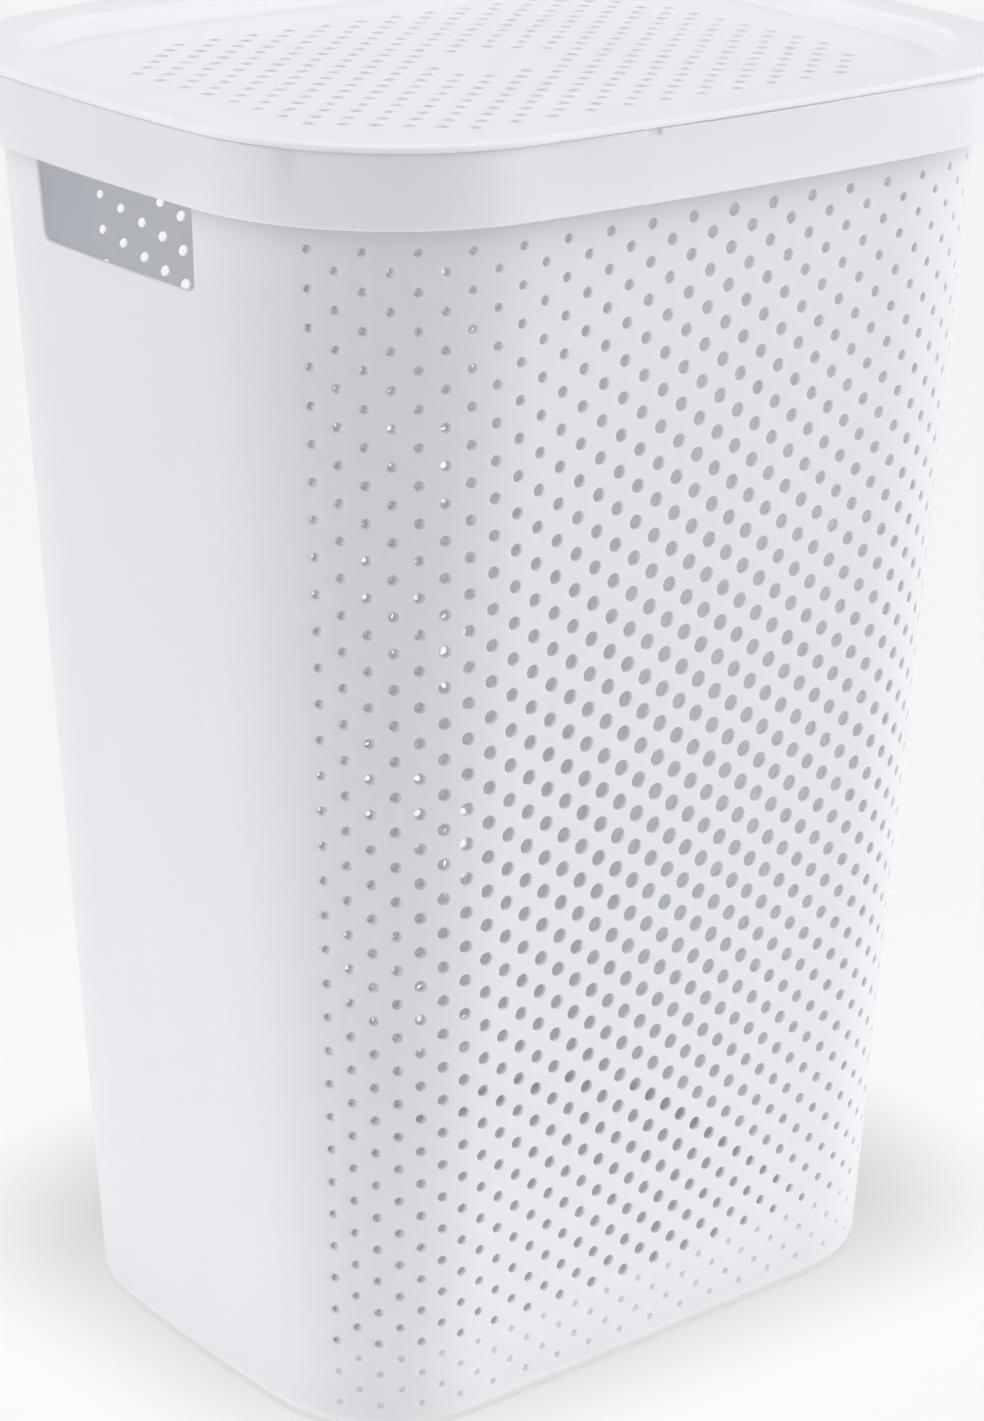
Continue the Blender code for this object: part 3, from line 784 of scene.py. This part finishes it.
def ears():
    """Hinge ears on the collar's back face, two round each knuckle, bored for the pin."""
    parts = []
    r = 5.5 * MM
    for side in (-1, 1):
        for end in (-1, 1):
            xi = side * HX + end * 11.5 * MM
            xo = xi + end * 4.0 * MM
            pts = []
            for q in range(19):                           # round nose towards the back
                a = math.radians(-90 + 180 * q / 18)
                pts.append((HY + r * math.cos(a), HZ + r * math.sin(a)))
            pts.append((RIM_D / 2 - 2.2 * MM, HZ + r))
            pts.append((RIM_D / 2 - 2.2 * MM, HZ - r - 4.0 * MM))
            pts.append((RIM_D / 2 - 0.2 * MM, HZ - r - 4.0 * MM))
            parts.append(prism("ear", pts, min(xi, xo), max(xi, xo), bevel=0.35 * MM))
    ob = parts[0]
    for p in parts[1:]:
        off = len(ob.data.vertices)
        join(ob, p)
    tools = [pin_cyl("bore", 2.5 * MM, side * HX - 18 * MM, side * HX + 18 * MM, 32) for side in (-1, 1)]
    cut(ob, tools)
    ob.name = "hinge_ears"
    return smooth(ob)


def join(a, b):
    """Adds b's mesh to a's and removes b."""
    bm = bmesh.new()
    bm.from_mesh(a.data); bm.from_mesh(b.data)
    bm.to_mesh(a.data); bm.free()
    bpy.data.objects.remove(b, do_unlink=True)


def pin_cyl(name, radius, x0, x1, n, bevel=0.0):
    me = bpy.data.meshes.new(name)
    bm = bmesh.new()
    bmesh.ops.create_cone(bm, cap_ends=True, segments=n, radius1=radius, radius2=radius, depth=x1 - x0)
    for v in bm.verts:
        a, b, c = v.co
        v.co = ((x0 + x1) / 2 + c, a + HY, b + HZ)
    bmesh.ops.recalc_face_normals(bm, faces=bm.faces)
    if bevel:
        rim = [e for e in bm.edges if abs(e.verts[0].co.x - e.verts[1].co.x) < 1e-9]
        bmesh.ops.bevel(bm, geom=rim, offset=bevel, segments=3, profile=0.5, affect="EDGES")
    bm.to_mesh(me); bm.free()
    ob = bpy.data.objects.new(name, me)
    bpy.context.scene.collection.objects.link(ob)
    return ob


def knuckles():
    """Hinge tongues of the lid: each wraps round a pin, with a heel that stops the lid."""
    parts = []
    for side in (-1, 1):
        x0, x1 = side * HX - 11 * MM, side * HX + 11 * MM
        pts = []
        for q in range(25):                               # round underside
            a = math.radians(180 + 180 * q / 24)
            pts.append((HY + 5.2 * MM * math.cos(a), HZ + 5.2 * MM * math.sin(a)))
        pts.append((HY + 5.85 * MM, HZ + 0.6 * MM))
        for q in range(9):                                # outer shoulder
            a = math.radians(90 * q / 8)
            pts.append((HY + 2.05 * MM + 3.8 * MM * math.cos(a), TOP - 1.3 * MM - 3.8 * MM + 3.8 * MM * math.sin(a)))
        pts.append((HY - 5.2 * MM, TOP - 1.3 * MM))
        parts.append(prism("knuckle", pts, x0, x1, bevel=0.35 * MM))
    ob = parts[0]
    join(ob, parts[1])
    tools = [pin_cyl("eye", 2.5 * MM, side * HX - 14 * MM, side * HX + 14 * MM, 32) for side in (-1, 1)]
    cut(ob, tools)
    ob.name = "lid_knuckles"
    return smooth(ob)


def lid():
    sk = Skin()
    zed = np.array([0, 0, 1.0])
    # profile from the panel edge outwards: (width, depth, radius, z, radial normal, vertical normal, back-wall set-in)
    prof = []
    def grow(e, z, nr, nz, soft=0.0):
        """e: distance of the outline outside the recess outline (negative is inside)."""
        prof.append((REC_W + 2 * e, REC_D + 2 * e, REC_R + e, z, nr, nz, soft))
    # base fillet of the recess, concave, radius 3 mm
    rb = 3.0 * MM
    e0 = -4.0 * MM
    wall_lean = math.radians(10)
    for q in range(6):
        th = math.radians(80 * q / 5)
        e = e0 - rb * 0 + rb * math.sin(th) - rb * math.sin(math.radians(80)) + 1.2 * MM
        z = PAN_Z + rb * (1 - math.cos(th))
        grow(e, z, -math.sin(th), math.cos(th), 1 - (z - PAN_Z) / (TOP - PAN_Z))
    # crest: convex, radius 2.6 mm, from the wall to the flange
    rc = 2.6 * MM
    top_e = -4.0 * MM + 1.2 * MM
    z_end = TOP - rc * (1 - math.cos(math.radians(80)))
    for q in range(7):
        th = math.radians(80 - 80 * q / 6)
        z = TOP - rc * (1 - math.cos(th))
        e = 2.6 * MM - rc * math.sin(th)
        grow(e, z, -math.sin(th), math.cos(th), max(0.0, 1 - (z - PAN_Z) / (TOP - PAN_Z)) if q == 0 else 0.0)
    n_in = len(prof)
    def lid_grow(e, z, nr, nz):
        prof.append((LID_W - 2 * e, LID_D - 2 * e, LID_R - e, z, nr, nz, 0.0))
    # flange with a very slight crown, then the rounded outer edge
    lid_grow(16 * MM, TOP - 0.00 * MM, 0.0, 1.0)
    lid_grow(8 * MM, TOP - 0.03 * MM, 0.010, 1.0)
    ro = 2.1 * MM
    for q in range(8):
        th = math.radians(90 * q / 7)
        lid_grow(ro * (1 - math.sin(th)), TOP - 0.08 * MM - ro * (1 - math.cos(th)), math.sin(th), math.cos(th))
    lid_grow(0.0, LEDGE_TOP + 0.9 * MM, 1.0, 0.0)
    lid_grow(0.15 * MM, LEDGE_TOP + 0.5 * MM, 0.8, -0.6)
    lid_grow(0.6 * MM, LEDGE_TOP + 0.3 * MM, 0.0, -1.0)
    # underside
    def under(e, z, nr, nz, soft=0.0):
        prof.append((REC_W + 2 * e, REC_D + 2 * e, REC_R + e, z, nr, nz, soft))
    under(4.0 * MM, LEDGE_TOP + 0.3 * MM, 0.0, -1.0)
    under(2.0 * MM, LEDGE_TOP - 0.6 * MM, 0.8, -0.6)
    under(0.2 * MM, PAN_Z + 0.5 * MM, 1.0, -0.15)
    under(-0.6 * MM, PAN_Z - 1.4 * MM, 0.8, -0.6)
    under(-2.4 * MM, PAN_Z - LID_T, 0.0, -1.0)

    rows, norms = [], []
    for w, d, r, z, nr, nz, soft in prof:
        o = lid_o(w, d, r)
        n = len(o)
        zz = np.full(n, z)
        P = np.column_stack([o[:, :2], zz])
        N = unit(np.column_stack([o[:, 2] * nr, o[:, 3] * nr, np.full(n, nz)]))
        if soft > 0:
            # the straight stretches of the recess wall lean further in than its corners
            gate = 1 / (1 + np.exp(np.clip((np.abs(o[:, 0]) - 113 * MM) / (0.5 * MM), -50, 50)))
            gate = np.where(np.abs(o[:, 1]) > 100 * MM, gate, 0)
            P[:, :2] -= o[:, 2:4] * (2.6 * MM * soft * gate)[:, None]
            N = unit(N + np.column_stack([np.zeros(n), np.zeros(n), 0.30 * gate * np.clip(-nr * 1.0, -1, 1) if nr < 0 else np.zeros(n)]))
        rows.append(P); norms.append(N)
    ids = [sk.verts(P) for P in rows]
    n = len(ids[0])
    for k in range(len(rows) - 1):
        a, b = ids[k], ids[k + 1]
        na, nb = norms[k], norms[k + 1]
        sk.faces(np.stack([a, np.roll(a, -1), np.roll(b, -1), b], 1),
                 np.stack([na, np.roll(na, -1, 0), np.roll(nb, -1, 0), nb], 1))

    # panel with its holes
    px, py = 10.28 * MM, 9.0 * MM
    holes = []
    for c in range(-15, 15):
        for j in range(-12, 13):
            if (c + j) % 2:
                continue
            x, y = (c + 0.5) * px, j * py
            qx, qy = max(abs(x) - 88 * MM, 0), max(abs(y) - 46 * MM, 0)
            if math.hypot(qx, qy) > 65.5 * MM:
                continue
            if (x / (33 * MM)) ** 2 + (y / (23.5 * MM)) ** 2 < 1:
                continue
            t = math.hypot(x / (165 * MM), y / (125 * MM))
            holes.append((x, y, (6.6 - 0.4 * min(t, 1.0) ** 2.0) * MM))
    m = 12
    ang = (np.arange(m) + 0.5) / m * 2 * math.pi
    ring = np.stack([np.cos(ang), np.sin(ang)], 1)
    H = np.array(holes)
    lip = 0.35 * MM

    def sheet(outer_xy, rad, z_val, nz, outer_ids):
        pts = [tuple(p) for p in outer_xy]
        edges = [(k, (k + 1) % len(pts)) for k in range(len(pts))]
        for (x, y, _), rr in zip(holes, rad):
            b = len(pts)
            pts += [(x + rr * c_, y + rr * s_) for c_, s_ in ring]
            edges += [(b + k, b + (k + 1) % m) for k in range(m)]
        vo, _, tris, orig, _, _ = delaunay_2d_cdt([Vector(p) for p in pts], edges, [], 0, 1e-7)
        vo = np.array([tuple(v) for v in vo])
        src = np.array([o[0] if o else -1 for o in orig])
        tris = np.array([t for t in tris if len(t) == 3])
        cen = vo[tris].mean(1)
        keep = np.ones(len(tris), bool)
        for (x, y, _), rr in zip(holes, rad):
            keep &= np.hypot(cen[:, 0] - x, cen[:, 1] - y) > rr * math.cos(math.pi / m) * 0.98
        # drop what lies outside the outer outline
        poly = np.array(outer_xy)
        a_, b_ = poly, np.roll(poly, -1, 0)
        for_inside = np.zeros(len(tris), bool)
        for (x1, y1), (x2, y2) in zip(a_, b_):
            hit = (y1 > cen[:, 1]) != (y2 > cen[:, 1])
            if y1 != y2:
                for_inside ^= hit & (cen[:, 0] < (x2 - x1) * (cen[:, 1] - y1) / (y2 - y1) + x1)
        tris = tris[keep & for_inside]
        gid = -np.ones(len(pts), int)
        gid[:len(outer_xy)] = outer_ids
        hp = np.array(pts[len(outer_xy):])
        gid[len(outer_xy):] = sk.verts(np.column_stack([hp, np.full(len(hp), z_val)]))
        look = gid[src]
        sk.faces(look[tris], np.array([0, 0, nz])[None, None])
        return gid[len(outer_xy):].reshape(len(holes), m)

    top_ring = sheet(rows[0][:, :2], H[:, 2] / 2 + lip, PAN_Z, 1.0, ids[0])
    bot_ring = sheet(rows[-1][:, :2], H[:, 2] / 2, PAN_Z - LID_T, -1.0, ids[-1])
    wall_top = sk.verts(np.concatenate([np.column_stack([x + d / 2 * ring[:, 0], y + d / 2 * ring[:, 1], np.full(m, PAN_Z - lip)])
                                        for x, y, d in holes])).reshape(len(holes), m)
    inward = np.broadcast_to(np.column_stack([-ring, np.zeros(m)])[None], (len(holes), m, 3))
    upn = np.broadcast_to(zed, inward.shape)
    band(top_ring, wall_top, upn, inward, sk)
    band(wall_top, bot_ring, inward, inward, sk)
    return sk.build("lid_moulding")


# ------------------------------------------------------------------ materials
def plastic(name, colour, rough=0.40, seed=0.0, grain=1.0, depth=5.0):
    mat = bpy.data.materials.new(name)
    mat.use_nodes = True
    nt = mat.node_tree
    b = nt.nodes["Principled BSDF"]
    b.inputs["IOR"].default_value = 1.49
    b.inputs["Metallic"].default_value = 0.0
    b.inputs["Specular IOR Level"].default_value = 0.42
    # thin polypropylene: light passes through the walls and fills the inside
    b.subsurface_method = "RANDOM_WALK"
    b.inputs["Subsurface Weight"].default_value = 1.0
    b.inputs["Subsurface Radius"].default_value = (1.0, 1.0, 1.0)
    b.inputs["Subsurface Scale"].default_value = depth * MM
    tc = nt.nodes.new("ShaderNodeTexCoord")
    mp = nt.nodes.new("ShaderNodeMapping")
    mp.inputs["Location"].default_value = (seed, seed * 0.7, seed * 1.3)
    nt.links.new(tc.outputs["Object"], mp.inputs["Vector"])
    big = nt.nodes.new("ShaderNodeTexNoise")              # slow drift of the pigment and wall thickness
    big.inputs["Scale"].default_value = 7.0
    big.inputs["Detail"].default_value = 3.0
    fine = nt.nodes.new("ShaderNodeTexNoise")             # moulded satin grain
    fine.inputs["Scale"].default_value = 900.0
    fine.inputs["Detail"].default_value = 2.0
    flow = nt.nodes.new("ShaderNodeTexNoise")             # faint drawn-out flow marks, stretched upwards
    flow.inputs["Scale"].default_value = 1.0
    flow.inputs["Detail"].default_value = 2.5
    fm = nt.nodes.new("ShaderNodeMapping")
    fm.inputs["Scale"].default_value = (46.0, 46.0, 6.0)
    nt.links.new(mp.outputs["Vector"], fm.inputs["Vector"])
    nt.links.new(fm.outputs["Vector"], flow.inputs["Vector"])
    for t in (big, fine):
        nt.links.new(mp.outputs["Vector"], t.inputs["Vector"])
    add = nt.nodes.new("ShaderNodeMath"); add.operation = "MULTIPLY_ADD"
    add.inputs[1].default_value = 0.35
    nt.links.new(flow.outputs["Fac"], add.inputs[0])
    nt.links.new(big.outputs["Fac"], add.inputs[2])
    ramp = nt.nodes.new("ShaderNodeValToRGB")
    ramp.color_ramp.elements[0].position = 0.35
    ramp.color_ramp.elements[1].position = 0.95
    lo = [c * 0.975 for c in colour]
    hi = [min(c * 1.012, 1) for c in colour]
    ramp.color_ramp.elements[0].color = (*lo, 1)
    ramp.color_ramp.elements[1].color = (*hi, 1)
    nt.links.new(add.outputs[0], ramp.inputs["Fac"])
    nt.links.new(ramp.outputs["Color"], b.inputs["Base Color"])
    rr = nt.nodes.new("ShaderNodeMapRange")
    rr.inputs["To Min"].default_value = rough - 0.05
    rr.inputs["To Max"].default_value = rough + 0.06
    nt.links.new(flow.outputs["Fac"], rr.inputs["Value"])
    nt.links.new(rr.outputs["Result"], b.inputs["Roughness"])
    bump = nt.nodes.new("ShaderNodeBump")
    bump.inputs["Strength"].default_value = 0.10 * grain
    bump.inputs["Distance"].default_value = 0.00012
    nt.links.new(fine.outputs["Fac"], bump.inputs["Height"])
    nt.links.new(bump.outputs["Normal"], b.inputs["Normal"])
    return mat


WHITE = (0.900, 0.912, 0.945)
m_body = plastic("moulded_white_basket", WHITE, 0.42, 0.0)
m_rim = plastic("moulded_white_rim", WHITE, 0.38, 3.1)
m_lid = plastic("moulded_white_lid", (0.910, 0.910, 0.914), 0.42, 7.7, depth=2.5)
m_pin = plastic("moulded_white_pin", WHITE, 0.34, 11.3)

# ------------------------------------------------------------------ assemble
shell = basket()
shell.data.materials.append(m_body)
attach(shell, "basket")
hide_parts("basket_body")

rim = collar()
rim.data.materials.clear(); rim.data.materials.append(m_rim)
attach(rim, "basket")
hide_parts("rim_collar")

ear = ears()
ear.data.materials.clear(); ear.data.materials.append(m_rim)
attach(ear, "basket")

top = lid()
top.data.materials.append(m_lid)
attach(top, "lid")
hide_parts("lid")

kn = knuckles()
kn.data.materials.clear(); kn.data.materials.append(m_lid)
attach(kn, "lid")

for side, tag in ((-1, "left"), (1, "right")):
    p = pin_cyl("pin_" + tag, 2.2 * MM, side * HX - 15.7 * MM, side * HX + 15.7 * MM, 40, bevel=0.35 * MM)
    smooth(p, 40)
    p.data.materials.append(m_pin)
    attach(p, "basket")
    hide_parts("hinge_pin_" + tag)

# ------------------------------------------------------------------ studio
def flat_mat(name, col, rough=0.9):
    m = bpy.data.materials.new(name)
    m.use_nodes = True
    b = m.node_tree.nodes["Principled BSDF"]
    b.inputs["Base Color"].default_value = (*col, 1)
    b.inputs["Roughness"].default_value = rough
    b.inputs["Specular IOR Level"].default_value = 0.1
    return m


bpy.ops.mesh.primitive_plane_add(size=40, location=(0, 0, -0.0005))
floor = bpy.context.object
floor.name = "studio_floor"
# most of the floor's brightness is its own, as on a lit table; the rest comes from its lamp
fm = flat_mat("studio_white", (0.20, 0.20, 0.20))
fm.node_tree.nodes["Principled BSDF"].inputs["Emission Color"].default_value = (1, 1, 1, 1)
fm.node_tree.nodes["Principled BSDF"].inputs["Emission Strength"].default_value = 0.62
floor.data.materials.append(fm)

# a dark card on the floor on the camera's side, out of the picture: it keeps light off the near corner
bpy.ops.mesh.primitive_plane_add(size=1, location=(-0.651 * 3.5, -0.759 * 3.5, 0.002))
card = bpy.context.object
card.name = "studio_card"
card.scale = (7.0, 4.8, 1)
card.rotation_euler = (0, 0, math.atan2(-0.651, 0.759))
card.data.materials.append(flat_mat("studio_black", (0.01, 0.01, 0.01)))
card.visible_camera = False
card.visible_shadow = False

world = bpy.data.worlds.new("studio")
bpy.context.scene.world = world
world.use_nodes = True
bg = world.node_tree.nodes["Background"]
bg.inputs["Color"].default_value = (1, 1, 1, 1)
# the backdrop behind the floor's far edge looks as pale as the floor, but gives almost no light
wt = world.node_tree
lp = wt.nodes.new("ShaderNodeLightPath")
back = wt.nodes.new("ShaderNodeMath"); back.operation = "MULTIPLY_ADD"
back.inputs[1].default_value = 0.895
back.inputs[2].default_value = 0.02
wt.links.new(lp.outputs["Is Camera Ray"], back.inputs[0])
wt.links.new(back.outputs[0], bg.inputs["Strength"])


def softbox(name, az, el, strength, angle=50, colour=(0.968, 0.985, 1.042), only_floor=False, skip=(), only=()):
    """A very wide, soft lamp far away. Azimuth 0 is in front of the object, 90 on its right.
    The floor has its own overhead lamp, so that the side lamps throw no long shadows over it."""
    l = bpy.data.lights.new(name, "SUN")
    l.energy = strength * math.pi
    l.angle = math.radians(angle)
    l.color = colour
    o = bpy.data.objects.new(name, l)
    bpy.context.scene.collection.objects.link(o)
    a, e = math.radians(az), math.radians(el)
    d = Vector((math.sin(a) * math.cos(e), -math.cos(a) * math.cos(e), math.sin(e)))
    o.rotation_euler = d.to_track_quat("Z", "Y").to_euler()
    o.location = d * 4
    group = bpy.data.collections.new(name + "_receivers")
    listed = list(only) if only else [floor, *skip]
    for ob in listed:
        group.objects.link(ob)
    for k in range(len(listed)):
        group.collection_objects[k].light_linking.link_state = "INCLUDE" if only_floor or only else "EXCLUDE"
    o.light_linking.receiver_collection = group
    return o


softbox("left_rear", -125, 25, 0.425)
softbox("left_front", -50, 20, 0.300)
softbox("front_right", 50, 25, 0.580)
softbox("right", 80, 25, 0.140, skip=(top,))
softbox("lid_top", 0, 88, 0.155, colour=(1, 1, 1), only=(top,))
softbox("right_rear", 120, 25, 0.090)
softbox("rear_high", 150, 60, 0.184, colour=(1, 1, 1))
softbox("rear", 170, 25, 0.144)
softbox("floor_lamp", -40, 86, 1.45, angle=10, colour=(1, 1, 1), only_floor=True)

# camera, at the viewing angle of the photograph
cam_d = bpy.data.cameras.new("camera")
cam = bpy.data.objects.new("camera", cam_d)
bpy.context.scene.collection.objects.link(cam)
bpy.context.scene.camera = cam
az, el, roll = math.radians(-40.61), math.radians(19.96), math.radians(1.25)
bk = Vector((math.sin(az) * math.cos(el), -math.cos(az) * math.cos(el), math.sin(el)))
rt = Vector((math.cos(az), math.sin(az), 0))
up = bk.cross(rt)
r2 = rt * math.cos(roll) + up * math.sin(roll)
u2 = up * math.cos(roll) - rt * math.sin(roll)
M = Matrix((r2, u2, bk)).transposed().to_4x4()
M.translation = Vector((-1.04293, -1.29586, 0.91274))
cam.matrix_world = M
cam_d.sensor_width = 36.0
cam_d.sensor_fit = "AUTO"
cam_d.lens = 3754.39 * 36.0 / 1421
cam_d.shift_x = -(600.0 - 492.0) / 1421
cam_d.shift_y = (660.0 - 710.5) / 1421
cam_d.clip_start, cam_d.clip_end = 0.05, 50

sc = bpy.context.scene
sc.view_settings.view_transform = "Standard"
sc.view_settings.look = "None"
sc.view_settings.exposure = 0.0
sc.view_settings.gamma = 1.0
# enough bounces for the light inside a white, perforated box
sc.cycles.max_bounces = 16
sc.cycles.diffuse_bounces = 10
